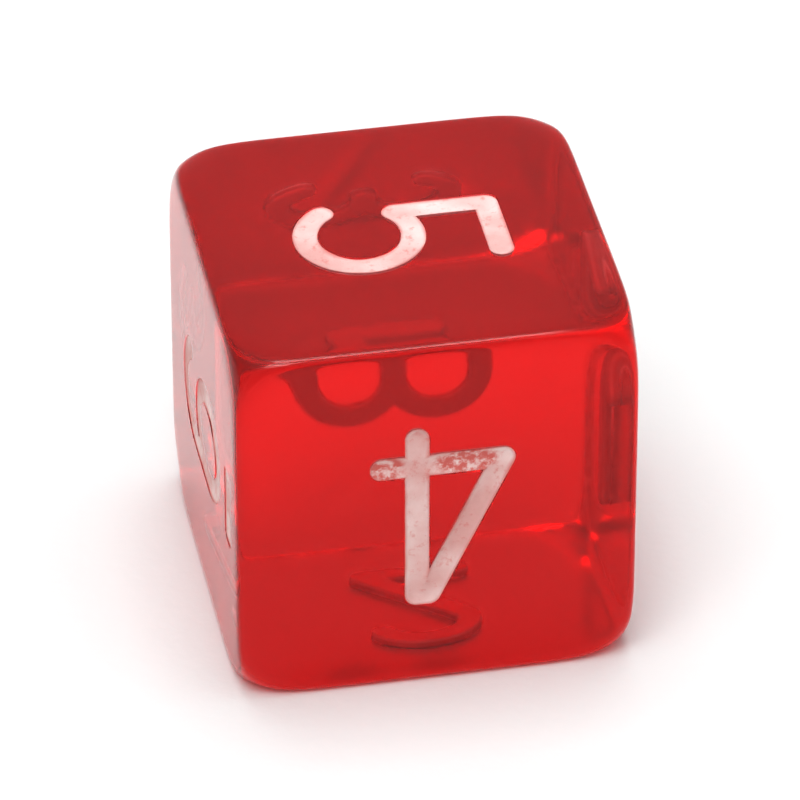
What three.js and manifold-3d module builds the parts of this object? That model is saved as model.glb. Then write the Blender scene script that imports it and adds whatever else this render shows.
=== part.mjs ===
// A clear red casino die: one solid cube with a numeral engraved in every face and filled with white paint.
// Millimetres, +Z up. The die rests on its 2, and the origin is the middle of that face.

import * as THREE from 'three';
import { mergeVertices } from 'three/addons/utils/BufferGeometryUtils.js';
import Module from 'manifold-3d';

const wasm = await Module();
wasm.setup();

// Driving dimensions of the body.
const SIDE = 15;
const HALF = SIDE / 2;
const EDGE_POWER = 40; // the higher, the tighter the edges: here they are as round as a 0.45 mm radius
const CORNER_REACH = 21.0; // a rounded corner's three coordinates add up to about this, not to 22.5
const CORNER_POWER = 34; // the lower, the further a corner's rounding spreads along its edges
const FLATNESS = 0.008; // a face counts as flat where the level is within this of one
const GRID_BAND = 3.6; // width of the band of small grid cells round a face's rim
const GRID_BAND_CELLS = 6;
const GRID_GROWTH = 1.7; // above one, the cells are smallest at the edge

// Driving dimensions of the engraving.
const STROKE_WIDTH = 0.9;
const GROOVE_DEPTH = 0.4;
const PAINT_GAP = 0.05; // clearance between the paint and the walls and floor of its groove
const PAINT_RECESS = 0.06; // how far the paint's surface lies below the face
const CUTTER_OVERSHOOT = 0.5; // how far a groove's cutter stands out of the face
const ARC_STEP = 15; // degrees in each straight step of a curved stroke
const END_STEP = 30; // degrees in each straight step of a stroke's round end
const END_CLEARANCE = 5; // degrees that a round end's points keep from the stroke's sides

// The numerals' own measures, from the middle of the face to the middle of the stroke.
const TOP = 3.5;
const BOTTOM = -3.5;
const BOWL_RADIUS = 1.75;

// The bar under the 6 tells it from a 9. It is a groove of its own.
const UNDERLINE = { y: -5.55, length: 3.1, height: 1.08, cornerRadius: 0.2 };

// Each face's numeral, the way the face looks and the way the numeral's top points. Opposite faces make 7.
const FACES = [
  { numeral: 1, out: [1, 0, 0], up: [0, 0, 1] },
  { numeral: 2, out: [0, 0, -1], up: [0, -1, 0] },
  { numeral: 3, out: [0, 1, 0], up: [-1, 0, 0] },
  { numeral: 4, out: [0, -1, 0], up: [0, 0, -1] },
  { numeral: 5, out: [0, 0, 1], up: [1, 0, 0] },
  { numeral: 6, out: [-1, 0, 0], up: [0, 1, 0] },
];

const clearRed = new THREE.MeshStandardMaterial({
  color: 0xc41a1c,
  roughness: 0.06,
  metalness: 0,
  transparent: true,
  opacity: 0.75,
});
const whitePaint = new THREE.MeshStandardMaterial({ color: 0xf3ece2, roughness: 0.6, metalness: 0 });

// --- The body ---------------------------------------------------------------------------------------------

// Below one inside the worn cube, one on its surface and above one outside: a cube with its corners cut off,
// as a sum of high powers, which rounds every edge.
function wornCubeLevel(point) {
  const reach = point.toArray().map(Math.abs);
  const faces = reach.map((distance) => (distance / HALF) ** EDGE_POWER);
  const corner = ((reach[0] + reach[1] + reach[2]) / CORNER_REACH) ** CORNER_POWER;
  return faces[0] + faces[1] + faces[2] + corner;
}

// Moves a point of the sharp cube's skin towards the centre until it lies on the worn cube.
function wearDown(point) {
  if (wornCubeLevel(point) < 1 + FLATNESS) return point;
  let inside = 0.5;
  let outside = 1;
  for (let step = 0; step < 40; step += 1) {
    const middle = (inside + outside) / 2;
    if (wornCubeLevel(point.clone().multiplyScalar(middle)) > 1) outside = middle;
    else inside = middle;
  }
  return point.multiplyScalar(inside);
}

// Grid lines across a face from -HALF to HALF: one wide cell in the flat middle, and small ones in each band.
function gridLine(index) {
  const last = 2 * GRID_BAND_CELLS + 1;
  if (index > last / 2) return -gridLine(last - index);
  return -HALF + GRID_BAND * (index / GRID_BAND_CELLS) ** GRID_GROWTH;
}

function wornCube() {
  const cells = 2 * GRID_BAND_CELLS + 1;
  const geometry = new THREE.BoxGeometry(cells, cells, cells, cells, cells, cells);
  const position = geometry.attributes.position;
  const point = new THREE.Vector3();
  for (let i = 0; i < position.count; i += 1) {
    point.fromBufferAttribute(position, i);
    point.set(...point.toArray().map((value) => gridLine(Math.round(value + cells / 2))));
    wearDown(point);
    position.setXYZ(i, point.x, point.y, point.z);
  }
  return geometry;
}

// --- Strokes of the numerals, drawn flat with x to the right and y up -------------------------------------

function strokeAlong(...points) {
  return points.map(([x, y]) => new THREE.Vector2(x, y));
}

// An arc turns clockwise when its end angle is below its start angle. Angles are in degrees from +x.
function arc(x, y, radius, startAngle, endAngle, radiusY = radius) {
  const [start, end] = [startAngle, endAngle].map(THREE.MathUtils.degToRad);
  const steps = Math.ceil(Math.abs(endAngle - startAngle) / ARC_STEP);
  return new THREE.EllipseCurve(x, y, radius, radiusY, start, end, end < start).getPoints(steps);
}

// The sideways direction at each point, square to the way the stroke runs there.
function sideways(points, index) {
  const before = points[Math.max(index - 1, 0)];
  const after = points[Math.min(index + 1, points.length - 1)];
  const along = after.clone().sub(before).normalize();
  return new THREE.Vector2(-along.y, along.x);
}

// The half circle round a stroke's end, from one side of the stroke clockwise to the other. Its points keep
// to the same compass angles on every stroke, so that two strokes that end at one point share them.
function roundEnd(centre, side, halfWidth) {
  const start = THREE.MathUtils.radToDeg(side.angle());
  const points = [];
  for (let angle = 360; angle > -180; angle -= END_STEP) {
    if (Math.abs(angle - start + 90) > 90 - END_CLEARANCE) continue;
    const radians = THREE.MathUtils.degToRad(angle);
    const rim = new THREE.Vector2(Math.cos(radians), Math.sin(radians)).multiplyScalar(halfWidth);
    points.push(rim.add(centre));
  }
  return points;
}

// The outline of a stroke with round ends, of one width along a smooth row of points.
function strokeShape(points, halfWidth) {
  const last = points.length - 1;
  const left = points.map((p, i) => p.clone().addScaledVector(sideways(points, i), halfWidth));
  const right = points.map((p, i) => p.clone().addScaledVector(sideways(points, i), -halfWidth)).reverse();
  const farEnd = roundEnd(points[last], sideways(points, last), halfWidth);
  const nearEnd = roundEnd(points[0], sideways(points, 0).negate(), halfWidth);
  return new THREE.Shape([...left, ...farEnd, ...right, ...nearEnd]);
}

// A closed oval stroke, such as the bowl of the 6.
function ovalShape({ x, y, radiusX, radiusY }, halfWidth) {
  const outer = new THREE.EllipseCurve(x, y, radiusX + halfWidth, radiusY + halfWidth);
  const inner = new THREE.EllipseCurve(x, y, radiusX - halfWidth, radiusY - halfWidth);
  const steps = 360 / ARC_STEP;
  const shape = new THREE.Shape(outer.getPoints(steps).slice(1));
  shape.holes.push(new THREE.Path(inner.getPoints(steps).slice(1)));
  return shape;
}

// A bar with small rounded corners, drawn smaller all round by inset.
function barShape({ y, length, height, cornerRadius }, inset) {
  const right = length / 2 - inset;
  const top = height / 2 - inset;
  const radius = cornerRadius - inset;
  const corners = [
    arc(right - radius, y + top - radius, radius, 0, 90),
    arc(radius - right, y + top - radius, radius, 90, 180),
    arc(radius - right, y - top + radius, radius, 180, 270),
    arc(right - radius, y - top + radius, radius, 270, 360),
  ];
  return new THREE.Shape(corners.flat());
}

// A smooth stroke never turns a sharp corner: two strokes meet there, and their round ends make the corner.
const NUMERAL_STROKES = {
  1: [strokeAlong([0.95, BOTTOM], [0.95, TOP]), strokeAlong([0.95, TOP], [-0.95, 1.75])],
  2: [
    [
      ...arc(0.1, 1.85, BOWL_RADIUS, 158, 0),
      ...arc(0.85, 1.85, 1.0, 0, -36).slice(1),
      ...strokeAlong([-1.7, BOTTOM]),
    ],
    strokeAlong([-1.7, BOTTOM], [1.95, BOTTOM]),
  ],
  3: [
    arc(-0.2, 1.67, 1.55, 158, -100, 1.65),
    arc(-0.2, -1.67, 1.55, 100, -155, 1.65),
    strokeAlong([-0.5, 0], [0, 0]),
  ],
  4: [
    strokeAlong([0.8, BOTTOM], [0.8, TOP]),
    strokeAlong([0.8, TOP], [0.35, TOP]),
    strokeAlong([0.35, TOP], [-2.4, -2.3]),
    strokeAlong([-2.4, -2.3], [2.1, -2.3]),
  ],
  5: [
    strokeAlong([1.6, TOP], [-1.5, TOP]),
    strokeAlong([-1.5, TOP], [-1.5, 0.1]),
    arc(-0.15, -1.5, 2.0, 130, -146),
  ],
  6: [strokeAlong([-BOWL_RADIUS, -1.2], [-BOWL_RADIUS, 1.85]), arc(0, 1.85, BOWL_RADIUS, 180, 24)],
};
const SIX_BOWL = { x: 0, y: -1.25, radiusX: BOWL_RADIUS, radiusY: 2.15 };

function numeralShapes(numeral, inset) {
  const halfWidth = STROKE_WIDTH / 2 - inset;
  const shapes = NUMERAL_STROKES[numeral].map((points) => strokeShape(points, halfWidth));
  if (numeral === 6) shapes.push(ovalShape(SIX_BOWL, halfWidth));
  return shapes;
}

// --- Solids -----------------------------------------------------------------------------------------------

function toManifold(geometry) {
  const bare = geometry.clone();
  bare.deleteAttribute('normal');
  bare.deleteAttribute('uv');
  const merged = mergeVertices(bare, 1e-5);
  const vertProperties = new Float32Array(merged.attributes.position.array);
  const triVerts = new Uint32Array(merged.index.array);
  return new wasm.Manifold(new wasm.Mesh({ numProp: 3, vertProperties, triVerts }));
}

function toGeometry(solid) {
  const { vertProperties, triVerts } = solid.getMesh();
  const geometry = new THREE.BufferGeometry();
  geometry.setAttribute('position', new THREE.BufferAttribute(vertProperties, 3));
  geometry.setIndex(new THREE.BufferAttribute(triVerts, 1));
  geometry.computeVertexNormals();
  return geometry;
}

// Raises every shape from one depth below the face (negative) to another, and joins them into one solid.
function raise(shapes, fromZ, toZ) {
  const prisms = shapes.map((shape) => {
    const prism = new THREE.ExtrudeGeometry(shape, { depth: toZ - fromZ, bevelEnabled: false });
    return toManifold(prism.translate(0, 0, fromZ));
  });
  return prisms.reduce((joined, prism) => joined.add(prism));
}

function grooveCutter(shapes) {
  return toGeometry(raise(shapes, -GROOVE_DEPTH, CUTTER_OVERSHOOT));
}

function paintFill(shapes) {
  return toGeometry(raise(shapes, PAINT_GAP - GROOVE_DEPTH, -PAINT_RECESS));
}

// Turns an object from flat on the page, facing +z, to lie on its face of the cube.
function placeOnFace(object, { out, up }) {
  const outward = new THREE.Vector3(...out);
  const upward = new THREE.Vector3(...up);
  const rightward = upward.clone().cross(outward);
  object.quaternion.setFromRotationMatrix(new THREE.Matrix4().makeBasis(rightward, upward, outward));
  object.position.copy(outward).multiplyScalar(HALF);
  object.updateMatrix();
  return object;
}

function paintMesh(name, shapes, face) {
  const mesh = new THREE.Mesh(paintFill(shapes), whitePaint);
  mesh.name = name;
  return placeOnFace(mesh, face);
}

function bodyMesh() {
  let solid = toManifold(wornCube());
  for (const face of FACES) {
    const { matrix } = placeOnFace(new THREE.Object3D(), face);
    const shapes = numeralShapes(face.numeral, 0);
    if (face.numeral === 6) shapes.push(barShape(UNDERLINE, 0));
    solid = solid.subtract(toManifold(grooveCutter(shapes).applyMatrix4(matrix)));
  }
  const mesh = new THREE.Mesh(toGeometry(solid), clearRed);
  mesh.name = 'die_body';
  return mesh;
}

const die = new THREE.Group();
die.position.z = HALF;
die.add(bodyMesh());
for (const face of FACES) {
  die.add(paintMesh(`numeral_${face.numeral}_paint`, numeralShapes(face.numeral, PAINT_GAP), face));
  if (face.numeral === 6) {
    die.add(paintMesh('six_underline_paint', [barShape(UNDERLINE, PAINT_GAP)], face));
  }
}

const object = new THREE.Group();
object.add(die);

export default object;
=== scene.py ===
# A clear red casino die with engraved numerals filled with white paint, on a pale table in soft light.

import functools
import math

import bmesh
import bpy
import numpy as np
from mathutils import Matrix, Vector, noise


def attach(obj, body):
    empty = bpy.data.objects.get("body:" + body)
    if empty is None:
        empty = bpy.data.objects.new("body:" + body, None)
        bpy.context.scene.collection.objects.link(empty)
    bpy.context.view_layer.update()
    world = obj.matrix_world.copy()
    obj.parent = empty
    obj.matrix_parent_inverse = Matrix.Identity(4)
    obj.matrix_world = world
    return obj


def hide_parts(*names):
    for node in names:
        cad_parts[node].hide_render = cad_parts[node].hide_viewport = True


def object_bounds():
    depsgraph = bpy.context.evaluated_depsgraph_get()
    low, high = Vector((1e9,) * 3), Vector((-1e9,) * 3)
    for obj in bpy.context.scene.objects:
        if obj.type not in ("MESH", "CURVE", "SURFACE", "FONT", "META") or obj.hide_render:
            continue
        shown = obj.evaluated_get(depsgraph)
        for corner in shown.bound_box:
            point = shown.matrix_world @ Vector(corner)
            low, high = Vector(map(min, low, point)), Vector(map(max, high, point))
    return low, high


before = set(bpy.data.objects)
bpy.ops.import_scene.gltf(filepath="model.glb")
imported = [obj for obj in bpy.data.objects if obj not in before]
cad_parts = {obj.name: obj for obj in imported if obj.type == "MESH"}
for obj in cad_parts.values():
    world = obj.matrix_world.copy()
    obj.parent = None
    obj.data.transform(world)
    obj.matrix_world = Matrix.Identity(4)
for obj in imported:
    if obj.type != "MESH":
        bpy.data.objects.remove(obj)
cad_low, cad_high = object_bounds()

MM = 0.001
SIDE = cad_high.z - cad_low.z
HALF = SIDE / 2
CENTRE = (cad_low + cad_high) / 2

# The block: a cube with tight edges and corners that tumbling has rounded more.
EDGE_POWER = 40  # the higher, the tighter the edges: here they are as round as a 0.45 mm radius
CORNER_REACH = 21.0 * MM  # the three coordinates of a corner's middle add up to about this, not to 22.5
CORNER_POWER = 34  # the lower, the further a corner's rounding spreads along its edges
GRID_BAND = 3.6 * MM  # width of the band of small grid cells round a face's rim
GRID_BAND_CELLS = 34
GRID_GROWTH = 1.7  # above one, the cells are smallest at the edge
GRID_MIDDLE_CELLS = 12
FLATNESS = 1e-4  # a face counts as flat where the level is within this of one
SKIN_TOLERANCE = 0.01  # a point is on the block's outer surface where the level is within this of one
HALVINGS = 50  # steps of the search for the worn surface

# The engraving. Flat drawings are in millimetres, x to the right and y up from the middle of the face.
HALF_STROKE = 0.45
STATION_STEP = 0.12  # distance between cross-sections along a stroke
END_STEPS = 14  # cross-sections round a stroke's round end
TOP = 3.5
BOTTOM = -3.5
BOWL_RADIUS = 1.75

# Cross-sections as (distance from the middle of the stroke, height above the face), in millimetres.
GROOVE_DEPTH = 0.4
GROOVE_PROFILE = [
    (0.0, 0.4),
    (HALF_STROKE + 0.06, 0.4),
    (HALF_STROKE + 0.035, 0.0),
    (HALF_STROKE + 0.012, -0.008),
    (HALF_STROKE, -0.03),
    (HALF_STROKE - 0.02, -0.26),
    (HALF_STROKE - 0.05, -0.34),
    (HALF_STROKE - 0.14, 0.015 - GROOVE_DEPTH),
    (HALF_STROKE - 0.3, -GROOVE_DEPTH),
    (0.0, -GROOVE_DEPTH),
]
# The paint reaches a hair into the plastic, so that it wets it.
WETTING = 0.012
FILL_PROFILE = [
    (0.0, 0.2),
    (HALF_STROKE + WETTING, 0.2),
    (HALF_STROKE + WETTING, -0.03),
    (HALF_STROKE - 0.02 + WETTING, -0.26),
    (HALF_STROKE - 0.05 + WETTING, -0.34 - WETTING),
    (HALF_STROKE - 0.14, 0.015 - GROOVE_DEPTH - WETTING),
    (HALF_STROKE - 0.3, -GROOVE_DEPTH - WETTING),
    (0.0, -GROOVE_DEPTH - WETTING),
]
# What is cut away above the paint: its surface dips in the middle and climbs the walls.
HOLLOW_PROFILE = [
    (0.0, 0.3),
    (HALF_STROKE + 0.1, 0.3),
    (HALF_STROKE + 0.1, -0.014),
    (HALF_STROKE + 0.01, -0.014),
    (HALF_STROKE - 0.02, -0.024),
    (HALF_STROKE - 0.07, -0.042),
    (HALF_STROKE - 0.14, -0.062),
    (HALF_STROKE - 0.24, -0.082),
    (HALF_STROKE - 0.36, -0.095),
    (0.0, -0.1),
]

# The paint's surface has dried in ripples: how deep they are, how many to a millimetre, and how far below the
# face a point may lie and still belong to that surface.
RIPPLE_HEIGHT = 0.03
RIPPLES_PER_MM = 0.8
RIPPLED_ABOVE = -0.12

# Colours of the paint.
CLEAN_PAINT = (0.8, 0.64, 0.62, 1)
STAINED_PAINT = (0.68, 0.42, 0.4, 1)
THIN_PAINT = (0.6, 0.2, 0.18, 1)  # red shows through along the rim
BARE_SPECK = (0.6, 0.16, 0.14, 1)  # red shows through where a speck has come away
UNDER_PLASTIC = (0.95, 0.93, 0.92, 1)  # the side that the plastic covers has stayed white

# Where the 4's crossbar has lost much of its paint: two patches, each as its middle, measured from the middle
# of the block, and its half sizes, in millimetres.
WORN_PATCHES = [
    ((1.05, -HALF / MM, 2.3), (1.4, 2, 0.6)),
    ((-1.95, -HALF / MM, 2.3), (0.8, 2, 0.6)),
]

# The bar under the 6, a groove of its own.
UNDERLINE = {"y": -5.55, "length": 3.1, "height": 1.08, "corner_radius": 0.2}

# Each face's numeral, the way the face looks and the way the numeral's top points. Opposite faces make 7.
FACES = {
    1: ((1, 0, 0), (0, 0, 1)),
    2: ((0, 0, -1), (0, -1, 0)),
    3: ((0, 1, 0), (-1, 0, 0)),
    4: ((0, -1, 0), (0, 0, -1)),
    5: ((0, 0, 1), (1, 0, 0)),
    6: ((-1, 0, 0), (0, 1, 0)),
}

# Shading: faces that meet at less than the angle look like one smooth surface, and a face belongs to the skin
# where the cosine between its own normal and the exact one is more than this.
SMOOTH_ANGLE = math.radians(32)
SAME_WAY = 0.9

# The studio: a light tent all round, and where the camera stands.
TENT_DIMMEST = 0.43
TENT_BRIGHTEST = 0.7
TENT_LEAN = math.radians(8)  # the tent's brightest part is this far forward of straight up
TENT_SPREAD = 0.6  # cosine of the angle at which the bright part has faded out
LIGHT_DISTANCE = 0.8  # of the softboxes, in metres
TABLE_REACH = 3.0  # from the die to each side of the table, in metres
TABLE_GAP = 0.02 * MM  # keeps the table's surface and the block's lower face apart
CAMERA_AZIMUTH = -10.9  # degrees, a little to the left of the front
CAMERA_ELEVATION = 35.1  # degrees above the table
CAMERA_DISTANCE = 0.274  # metres
CAMERA_LENS = 330  # millimetres


# --- The worn cube --------------------------------------------------------------------------------------

def worn_cube_level(points):
    """Below one inside the worn cube, one on its surface and above one outside."""
    reach = np.abs(points)
    return ((reach / HALF) ** EDGE_POWER).sum(-1) + (reach.sum(-1) / CORNER_REACH) ** CORNER_POWER


def worn_cube_normals(points):
    """The outward unit normals of the worn cube at points on its surface: the way its level grows fastest."""
    reach = np.abs(points)
    faces = EDGE_POWER / HALF * (reach / HALF) ** (EDGE_POWER - 1)
    corner = CORNER_POWER / CORNER_REACH * (reach.sum(-1, keepdims=True) / CORNER_REACH) ** (CORNER_POWER - 1)
    slope = (faces + corner) * np.sign(points)
    return slope / np.linalg.norm(slope, axis=-1, keepdims=True)


def wear_down(points):
    """Moves points of the sharp cube's skin towards the centre until they lie on the worn cube."""
    inside = np.full(len(points), 0.5)
    outside = np.ones(len(points))
    for _ in range(HALVINGS):
        middle = (inside + outside) / 2
        too_far = worn_cube_level(points * middle[:, None]) > 1
        outside = np.where(too_far, middle, outside)
        inside = np.where(too_far, inside, middle)
    flat = worn_cube_level(points) < 1 + FLATNESS
    return points * np.where(flat, 1.0, inside)[:, None]


def grid_lines():
    """Places of the grid lines across a face: fine in the band along each rim, and even between the bands."""
    band = GRID_BAND * np.linspace(0, 1, GRID_BAND_CELLS + 1) ** GRID_GROWTH
    middle = np.linspace(GRID_BAND - HALF, HALF - GRID_BAND, GRID_MIDDLE_CELLS + 1)
    return np.concatenate([band - HALF, middle[1:-1], HALF - band[::-1]])


def worn_cube():
    """The block before engraving, centred on the origin."""
    lines = grid_lines()
    count = len(lines)
    across, up = np.meshgrid(lines, lines, indexing="ij")
    corner = np.arange(count * count).reshape(count, count)
    cells = np.stack([corner[:-1, :-1], corner[1:, :-1], corner[1:, 1:], corner[:-1, 1:]], -1).reshape(-1, 4)
    points = []
    quads = []
    for axis in range(3):
        for sign in (-1, 1):
            face = np.zeros((count, count, 3))
            face[..., axis] = sign * HALF
            face[..., (axis + 1) % 3] = across
            face[..., (axis + 2) % 3] = up
            quads.append((cells if sign > 0 else cells[:, ::-1]) + len(points) * count * count)
            points.append(face.reshape(-1, 3))
    merged, inverse = np.unique(np.round(np.concatenate(points), 9), axis=0, return_inverse=True)
    quads = inverse.reshape(-1)[np.concatenate(quads)]
    mesh = bpy.data.meshes.new("worn_cube")
    mesh.from_pydata(wear_down(merged).tolist(), [], quads.tolist())
    return new_object("worn_cube", mesh)


# --- Strokes of the numerals ----------------------------------------------------------------------------

def arc(x, y, radius, start, end, radius_y=None):
    """Points on an arc, or on an oval's, from one angle in degrees to another."""
    steps = max(3, math.ceil(abs(math.radians(end - start)) * radius / STATION_STEP))
    angles = np.radians(np.linspace(start, end, steps + 1))
    return [(x + radius * math.cos(a), y + (radius_y or radius) * math.sin(a)) for a in angles]


def line(*corners):
    """Points along straight stretches between corners."""
    points = [corners[0]]
    for (x0, y0), (x1, y1) in zip(corners, corners[1:]):
        steps = math.ceil(math.dist((x0, y0), (x1, y1)) / STATION_STEP)
        points += [(x0 + (x1 - x0) * i / steps, y0 + (y1 - y0) * i / steps) for i in range(1, steps + 1)]
    return points


def numeral_strokes(numeral):
    """Rows of points along the strokes. Strokes are smooth: where a numeral has a sharp corner, two meet."""
    if numeral == 1:
        return [line((0.95, BOTTOM), (0.95, TOP)), line((0.95, TOP), (-0.95, 1.75))]
    if numeral == 2:
        hook = arc(0.1, 1.85, BOWL_RADIUS, 158, 0) + arc(0.85, 1.85, 1.0, 0, -36)[1:]
        return [hook + line(hook[-1], (-1.7, BOTTOM))[1:], line((-1.7, BOTTOM), (1.95, BOTTOM))]
    if numeral == 3:
        upper = arc(-0.2, 1.67, 1.55, 158, -100, radius_y=1.65)
        lower = arc(-0.2, -1.67, 1.55, 100, -155, radius_y=1.65)
        return [upper, lower, line((-0.5, 0), (0, 0))]
    if numeral == 4:
        stem = line((0.8, BOTTOM), (0.8, TOP))
        cap = line((0.8, TOP), (0.35, TOP))
        diagonal = line((0.35, TOP), (-2.4, -2.3))
        return [stem, cap, diagonal, line((-2.4, -2.3), (2.1, -2.3))]
    if numeral == 5:
        bar = line((1.6, TOP), (-1.5, TOP))
        return [bar, line((-1.5, TOP), (-1.5, 0.1)), arc(-0.15, -1.5, 2.0, 130, -146)]
    back = line((-BOWL_RADIUS, -1.2), (-BOWL_RADIUS, 1.85)) + arc(0, 1.85, BOWL_RADIUS, 180, 24)[1:]
    return [back, arc(0, -1.25, BOWL_RADIUS, 0, 360, radius_y=2.15)]


def sideways(points, closed):
    """The unit direction to the left of the way the stroke runs, at each of its points."""
    xy = np.array(points)
    if closed:
        along = np.roll(xy, -1, 0) - np.roll(xy, 1, 0)
    else:
        along = np.gradient(xy, axis=0)
    along /= np.linalg.norm(along, axis=1, keepdims=True)
    return np.stack([-along[:, 1], along[:, 0]], 1)


def half_turn(point, side):
    """The round end of a stroke, as pairs of the end point and a direction, from one side to the other."""
    start = math.atan2(side[1], side[0])
    turns = [start - math.pi * i / END_STEPS for i in range(1, END_STEPS)]
    return [(point, (math.cos(a), math.sin(a))) for a in turns]


def stroke_rims(points):
    """The loops round a stroke: lists of pairs, a point on the middle line and the direction to the rim."""
    closed = math.dist(points[0], points[-1]) < 1e-6
    if closed:
        points = points[:-1]
    left = sideways(points, closed)
    one_side = list(zip(points, left))
    other_side = list(zip(points[::-1], -left[::-1]))
    if closed:
        return [one_side, other_side]
    return [one_side + half_turn(points[-1], left[-1]) + other_side + half_turn(points[0], -left[0])]


def swept_point(centre, direction, reach, height):
    """A point of a sweep. A paint's surface sinks a little here and there, alike on strokes that meet."""
    x = centre[0] + direction[0] * reach
    y = centre[1] + direction[1] * reach
    if RIPPLED_ABOVE < height < 0:
        height -= RIPPLE_HEIGHT * (0.5 + noise.noise((x * RIPPLES_PER_MM, y * RIPPLES_PER_MM, 0)))
    return (x, y, height)


def sweep(rims, profile):
    """A closed solid with one cross-section all along a stroke. Points on the middle line are welded."""
    solid = bmesh.new()
    for rim in rims:
        rows = []
        for reach, height in profile:
            rows.append([solid.verts.new(swept_point(c, d, reach, height)) for c, d in rim])
        for upper, lower in zip(rows, rows[1:]):
            for i in range(len(rim)):
                j = (i + 1) % len(rim)
                solid.faces.new((upper[i], upper[j], lower[j], lower[i]))
    bmesh.ops.remove_doubles(solid, verts=solid.verts, dist=1e-5)
    bmesh.ops.dissolve_degenerate(solid, edges=solid.edges, dist=1e-6)
    bmesh.ops.recalc_face_normals(solid, faces=solid.faces)
    mesh = bpy.data.meshes.new("stroke")
    solid.to_mesh(mesh)
    solid.free()
    return new_object("stroke", mesh)


def bar_rims(y, length, height, corner_radius):
    """The loop round a short bar. Each rim point's middle point lies on the bar's long middle line."""
    right = length / 2
    up = height / 2
    corners = [
        (right - corner_radius, up - corner_radius, 0),
        (corner_radius - right, up - corner_radius, 90),
        (corner_radius - right, corner_radius - up, 180),
        (right - corner_radius, corner_radius - up, 270),
    ]
    outline = [p for x, v, turn in corners for p in arc(x, v, corner_radius, turn, turn + 90)]
    outline = line(*outline, outline[0])[:-1]
    rim = []
    for x, v in outline:
        middle = max(-(right - up), min(right - up, x))
        rim.append(((middle, y), ((x - middle) / HALF_STROKE, v / HALF_STROKE)))
    return [rim]


# --- Solids ---------------------------------------------------------------------------------------------

def new_object(name, mesh):
    obj = bpy.data.objects.new(name, mesh)
    bpy.context.scene.collection.objects.link(obj)
    return obj


def combine(target, tool, operation):
    """Joins tool to target or cuts it away, and removes tool."""
    modifier = target.modifiers.new("combine", "BOOLEAN")
    modifier.operation = operation
    modifier.solver = "MANIFOLD"
    modifier.object = tool
    evaluated = target.evaluated_get(bpy.context.evaluated_depsgraph_get())
    mesh = bpy.data.meshes.new_from_object(evaluated)
    target.modifiers.clear()
    target.data = mesh
    bpy.data.objects.remove(tool)
    return target


def swept_numeral(numeral, profile):
    solids = [sweep(stroke_rims(points), profile) for points in numeral_strokes(numeral)]
    whole = solids[0]
    for other in solids[1:]:
        combine(whole, other, "UNION")
    return whole


def swept_underline(profile):
    return sweep(bar_rims(**UNDERLINE), profile)


def face_matrix(numeral):
    """Takes a flat drawing in millimetres to its place on the die, in metres."""
    outward, upward = (Vector(v) for v in FACES[numeral])
    rightward = upward.cross(outward)
    turn = Matrix((rightward, upward, outward)).transposed().to_4x4()
    return Matrix.Translation(CENTRE + outward * HALF) @ turn @ Matrix.Scale(MM, 4)


def place(obj, matrix):
    obj.data.transform(matrix)
    return obj


def set_normals(obj):
    """Smooth normals, sharp at creases."""
    mesh = obj.data
    shape = bmesh.new()
    shape.from_mesh(mesh)
    for edge in shape.edges:
        edge.smooth = len(edge.link_faces) == 2 and edge.calc_face_angle(0) < SMOOTH_ANGLE
    for face in shape.faces:
        face.smooth = True
    shape.to_mesh(mesh)
    shape.free()


def exact_normals(obj):
    """Gives the block's outer surface the worn cube's exact normals, so that flat faces refract as flat."""
    set_normals(obj)
    mesh = obj.data
    points = np.array([v.co for v in mesh.vertices]) - np.array(CENTRE)
    on_skin = np.abs(worn_cube_level(points) - 1) < SKIN_TOLERANCE
    exact = worn_cube_normals(np.where(on_skin[:, None], points, [[0, 0, HALF]]))
    normals = np.array([n.vector for n in mesh.corner_normals])
    for polygon in mesh.polygons:
        corners = [mesh.loops[i].vertex_index for i in polygon.loop_indices]
        if not on_skin[corners].all():
            continue
        # A groove's wall meets the skin at its rim too, but it faces another way and keeps its own normals.
        if exact[corners].mean(0) @ np.array(polygon.normal) > SAME_WAY:
            normals[list(polygon.loop_indices)] = exact[corners]
    mesh.normals_split_custom_set(normals.tolist())


# --- Materials ------------------------------------------------------------------------------------------

def new_material(name):
    material = bpy.data.materials.new(name)
    material.use_nodes = True
    nodes = material.node_tree.nodes
    return material, nodes, material.node_tree.links, nodes["Principled BSDF"], nodes["Material Output"]


def add_noise(nodes, links, scale, detail, roughness=0.5):
    """Noise in the object's own metres: the scale is in blobs to the metre."""
    place_node = nodes.new("ShaderNodeTexCoord")
    texture = nodes.new("ShaderNodeTexNoise")
    texture.inputs["Scale"].default_value = scale
    texture.inputs["Detail"].default_value = detail
    texture.inputs["Roughness"].default_value = roughness
    links.new(place_node.outputs["Object"], texture.inputs["Vector"])
    return texture.outputs["Fac"]


def add_range(nodes, links, value, low, high, to_low, to_high):
    """Carries a value's stretch from low to high over to another stretch."""
    stretch = nodes.new("ShaderNodeMapRange")
    stretch.inputs["From Min"].default_value = low
    stretch.inputs["From Max"].default_value = high
    stretch.inputs["To Min"].default_value = to_low
    stretch.inputs["To Max"].default_value = to_high
    links.new(value, stretch.inputs["Value"])
    return stretch.outputs["Result"]


def add_mix(nodes, links, amount, first, second):
    """Mixes two colours. Each is a tuple or another node's output."""
    mix = nodes.new("ShaderNodeMix")
    mix.data_type = "RGBA"
    links.new(amount, mix.inputs["Factor"])
    for socket, colour in ((mix.inputs["A"], first), (mix.inputs["B"], second)):
        if isinstance(colour, tuple):
            socket.default_value = colour
        else:
            links.new(colour, socket)
    return mix.outputs["Result"]


def add_blend(nodes, links, amount, first, second):
    """Goes from one value to another as the amount goes from zero to one."""
    mix = nodes.new("ShaderNodeMix")
    links.new(amount, mix.inputs["Factor"])
    links.new(first, mix.inputs["A"])
    links.new(second, mix.inputs["B"])
    return mix.outputs["Result"]


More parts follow.
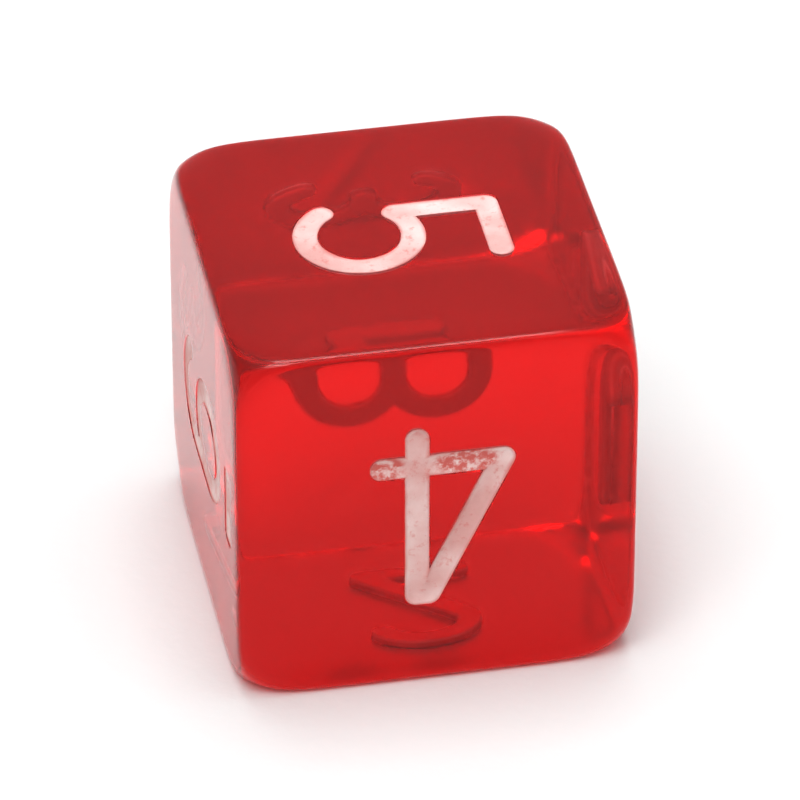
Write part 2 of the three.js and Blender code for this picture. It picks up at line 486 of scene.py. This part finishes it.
def add_bump(nodes, links, height, depth):
    """Turns a height from zero to one into bumps that deep, in metres."""
    bump = nodes.new("ShaderNodeBump")
    bump.inputs["Strength"].default_value = 1
    bump.inputs["Distance"].default_value = depth
    links.new(height, bump.inputs["Height"])
    return bump.outputs["Normal"]


def clear_red_plastic():
    """Tumbled acrylic: clear, faintly wavy, and dulled all over by a thin haze of fine scuffs."""
    material, nodes, links, shader, output = new_material("clear_red_plastic")
    shader.inputs["Base Color"].default_value = (1, 1, 1, 1)
    shader.inputs["Transmission Weight"].default_value = 1
    shader.inputs["IOR"].default_value = 1.49
    shader.inputs["Coat Weight"].default_value = 0.8
    shader.inputs["Coat Roughness"].default_value = 0.6
    scuffs = add_noise(nodes, links, scale=450, detail=6, roughness=0.7)
    links.new(add_range(nodes, links, scuffs, 0.45, 0.75, 0.08, 0.17), shader.inputs["Roughness"])
    waves = add_noise(nodes, links, scale=220, detail=1)
    links.new(add_bump(nodes, links, waves, 0.006 * MM), shader.inputs["Normal"])
    absorption = nodes.new("ShaderNodeVolumeAbsorption")
    absorption.inputs["Color"].default_value = (0.975, 0.05, 0.06, 1)
    absorption.inputs["Density"].default_value = 330
    links.new(absorption.outputs["Volume"], output.inputs["Volume"])
    return material


def add_depth(nodes, links):
    """How far a point lies below the nearest face of the block, as a share of the engraving's depth."""
    place_node = nodes.new("ShaderNodeTexCoord")
    from_centre = nodes.new("ShaderNodeVectorMath")
    from_centre.operation = "SUBTRACT"
    from_centre.inputs[1].default_value = CENTRE
    links.new(place_node.outputs["Object"], from_centre.inputs[0])
    reach = nodes.new("ShaderNodeVectorMath")
    reach.operation = "ABSOLUTE"
    links.new(from_centre.outputs["Vector"], reach.inputs[0])
    split = nodes.new("ShaderNodeSeparateXYZ")
    links.new(reach.outputs["Vector"], split.inputs["Vector"])
    furthest = split.outputs["X"]
    for axis in "YZ":
        larger = nodes.new("ShaderNodeMath")
        larger.operation = "MAXIMUM"
        links.new(furthest, larger.inputs[0])
        links.new(split.outputs[axis], larger.inputs[1])
        furthest = larger.outputs["Value"]
    return add_range(nodes, links, furthest, HALF, HALF - GROOVE_DEPTH * MM, 0, 1)


def add_patch(nodes, links, centre, radii):
    """An oval patch, in metres: one at its centre, falling to zero at its rim."""
    place_node = nodes.new("ShaderNodeTexCoord")
    mapping = nodes.new("ShaderNodeMapping")
    mapping.vector_type = "TEXTURE"
    mapping.inputs["Location"].default_value = centre
    mapping.inputs["Scale"].default_value = radii
    links.new(place_node.outputs["Object"], mapping.inputs["Vector"])
    gradient = nodes.new("ShaderNodeTexGradient")
    gradient.gradient_type = "SPHERICAL"
    links.new(mapping.outputs["Vector"], gradient.inputs["Vector"])
    return gradient.outputs["Fac"]


def white_paint():
    """White paint: bright under the plastic, and outside pinkish, mottled, specked and red along its rim."""
    material, nodes, links, shader, _ = new_material("white_paint")
    patches = add_range(nodes, links, add_noise(nodes, links, scale=420, detail=3), 0.35, 0.65, 0, 1)
    colour = add_mix(nodes, links, patches, CLEAN_PAINT, STAINED_PAINT)
    depth = add_depth(nodes, links)
    rim = add_range(nodes, links, depth, 0.05, 0.17, 0.75, 0)
    colour = add_mix(nodes, links, rim, colour, THIN_PAINT)
    grain = add_noise(nodes, links, scale=3200, detail=4, roughness=0.7)
    specks = add_range(nodes, links, grain, 0.56, 0.72, 0, 0.5)
    for centre, radii in WORN_PATCHES:
        worn = add_patch(nodes, links, CENTRE + Vector(centre) * MM, Vector(radii) * MM)
        worn = add_range(nodes, links, worn, 0, 0.3, 0, 1)
        worn_specks = add_range(nodes, links, grain, 0.4, 0.56, 0, 0.9)
        specks = add_blend(nodes, links, worn, specks, worn_specks)
    colour = add_mix(nodes, links, specks, colour, BARE_SPECK)
    underside = add_range(nodes, links, depth, 0.45, 0.7, 0, 1)
    colour = add_mix(nodes, links, underside, colour, UNDER_PLASTIC)
    links.new(colour, shader.inputs["Base Color"])
    links.new(add_range(nodes, links, grain, 0.3, 0.7, 0.5, 0.8), shader.inputs["Roughness"])
    links.new(add_bump(nodes, links, grain, 0.05 * MM), shader.inputs["Normal"])
    return material


def pale_table():
    """Smooth white card with a faint mottle and a fine tooth."""
    material, nodes, links, shader, _ = new_material("pale_table")
    mottle = add_noise(nodes, links, scale=60, detail=4)
    colour = add_mix(nodes, links, mottle, (0.77, 0.785, 0.785, 1), (0.73, 0.745, 0.745, 1))
    links.new(colour, shader.inputs["Base Color"])
    shader.inputs["Roughness"].default_value = 0.7
    tooth = add_noise(nodes, links, scale=1500, detail=3)
    links.new(add_bump(nodes, links, tooth, 0.02 * MM), shader.inputs["Normal"])
    return material


# --- The die --------------------------------------------------------------------------------------------

def add_piece(obj, name, node, material):
    obj.name = name
    obj.data.materials.clear()
    obj.data.materials.append(material)
    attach(obj, "root")
    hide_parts(node)


def paint_fill(name, node, shape, matrix, material):
    """The paint in one groove. The shape is a function that sweeps a cross-section along it."""
    fill = combine(shape(FILL_PROFILE), shape(HOLLOW_PROFILE), "DIFFERENCE")
    place(fill, matrix)
    set_normals(fill)
    add_piece(fill, name, node, material)


def build_die():
    plastic = clear_red_plastic()
    paint = white_paint()
    block = place(worn_cube(), Matrix.Translation(CENTRE))
    for numeral in FACES:
        shape = functools.partial(swept_numeral, numeral)
        matrix = face_matrix(numeral)
        combine(block, place(shape(GROOVE_PROFILE), matrix), "DIFFERENCE")
        paint_fill(f"numeral_{numeral}_fill", f"numeral_{numeral}_paint", shape, matrix, paint)
    combine(block, place(swept_underline(GROOVE_PROFILE), face_matrix(6)), "DIFFERENCE")
    paint_fill("six_underline_fill", "six_underline_paint", swept_underline, face_matrix(6), paint)
    exact_normals(block)
    add_piece(block, "die_block", "die_body", plastic)


# --- Table, light and camera ----------------------------------------------------------------------------

def add_table():
    mesh = bpy.data.meshes.new("table")
    corners = [(-1, -1), (1, -1), (1, 1), (-1, 1)]
    height = cad_low.z - TABLE_GAP
    mesh.from_pydata([(x * TABLE_REACH, y * TABLE_REACH, height) for x, y in corners], [], [(0, 1, 2, 3)])
    table = new_object("table", mesh)
    mesh.materials.append(pale_table())


def towards(azimuth, elevation):
    """The unit direction from the die. Azimuth 0 is the front, elevation is above the table, in degrees."""
    a = math.radians(azimuth)
    e = math.radians(elevation)
    return Vector((math.sin(a) * math.cos(e), -math.cos(a) * math.cos(e), math.sin(e)))


def aim(obj, direction, distance):
    """Puts a light or a camera that way from the die, looking at it."""
    obj.location = CENTRE + direction * distance
    obj.rotation_euler = (-direction).to_track_quat("-Z", "Y").to_euler()


def add_softbox(name, direction, size, power):
    """A square area light that faces the die."""
    data = bpy.data.lights.new(name, "AREA")
    data.size = size
    data.energy = power
    light = bpy.data.objects.new(name, data)
    bpy.context.scene.collection.objects.link(light)
    aim(light, direction, LIGHT_DISTANCE)


def add_studio():
    """A light tent: brightest overhead and a little forward, dimmer behind and towards the horizon."""
    world = bpy.data.worlds.new("studio")
    world.use_nodes = True
    nodes = world.node_tree.nodes
    links = world.node_tree.links
    direction = nodes.new("ShaderNodeTexCoord")
    towards_brightest = nodes.new("ShaderNodeVectorMath")
    towards_brightest.operation = "DOT_PRODUCT"
    towards_brightest.inputs[1].default_value = (0, -math.sin(TENT_LEAN), math.cos(TENT_LEAN))
    links.new(direction.outputs["Generated"], towards_brightest.inputs[0])
    brightness = nodes.new("ShaderNodeMapRange")
    brightness.interpolation_type = "SMOOTHSTEP"
    brightness.inputs["From Min"].default_value = TENT_SPREAD
    brightness.inputs["From Max"].default_value = 1
    brightness.inputs["To Min"].default_value = TENT_DIMMEST
    brightness.inputs["To Max"].default_value = TENT_BRIGHTEST
    links.new(towards_brightest.outputs["Value"], brightness.inputs["Value"])
    background = nodes["Background"]
    background.inputs["Color"].default_value = (1, 1, 1, 1)
    links.new(brightness.outputs["Result"], background.inputs["Strength"])
    bpy.context.scene.world = world


def add_light():
    add_studio()
    add_softbox("overhead", towards(azimuth=180, elevation=84), size=0.35, power=1.05)
    add_softbox("key", towards(azimuth=-30, elevation=62), size=0.4, power=1.4)
    scene = bpy.context.scene
    scene.view_settings.view_transform = "Standard"
    scene.view_settings.look = "Very High Contrast"
    scene.cycles.max_bounces = 24
    scene.cycles.glossy_bounces = 16
    scene.cycles.transmission_bounces = 16


def add_camera():
    data = bpy.data.cameras.new("camera")
    data.lens = CAMERA_LENS
    data.clip_start = 0.01
    camera = bpy.data.objects.new("camera", data)
    bpy.context.scene.collection.objects.link(camera)
    aim(camera, towards(CAMERA_AZIMUTH, CAMERA_ELEVATION), CAMERA_DISTANCE)
    bpy.context.scene.camera = camera


add_camera()
build_die()
add_table()
add_light()
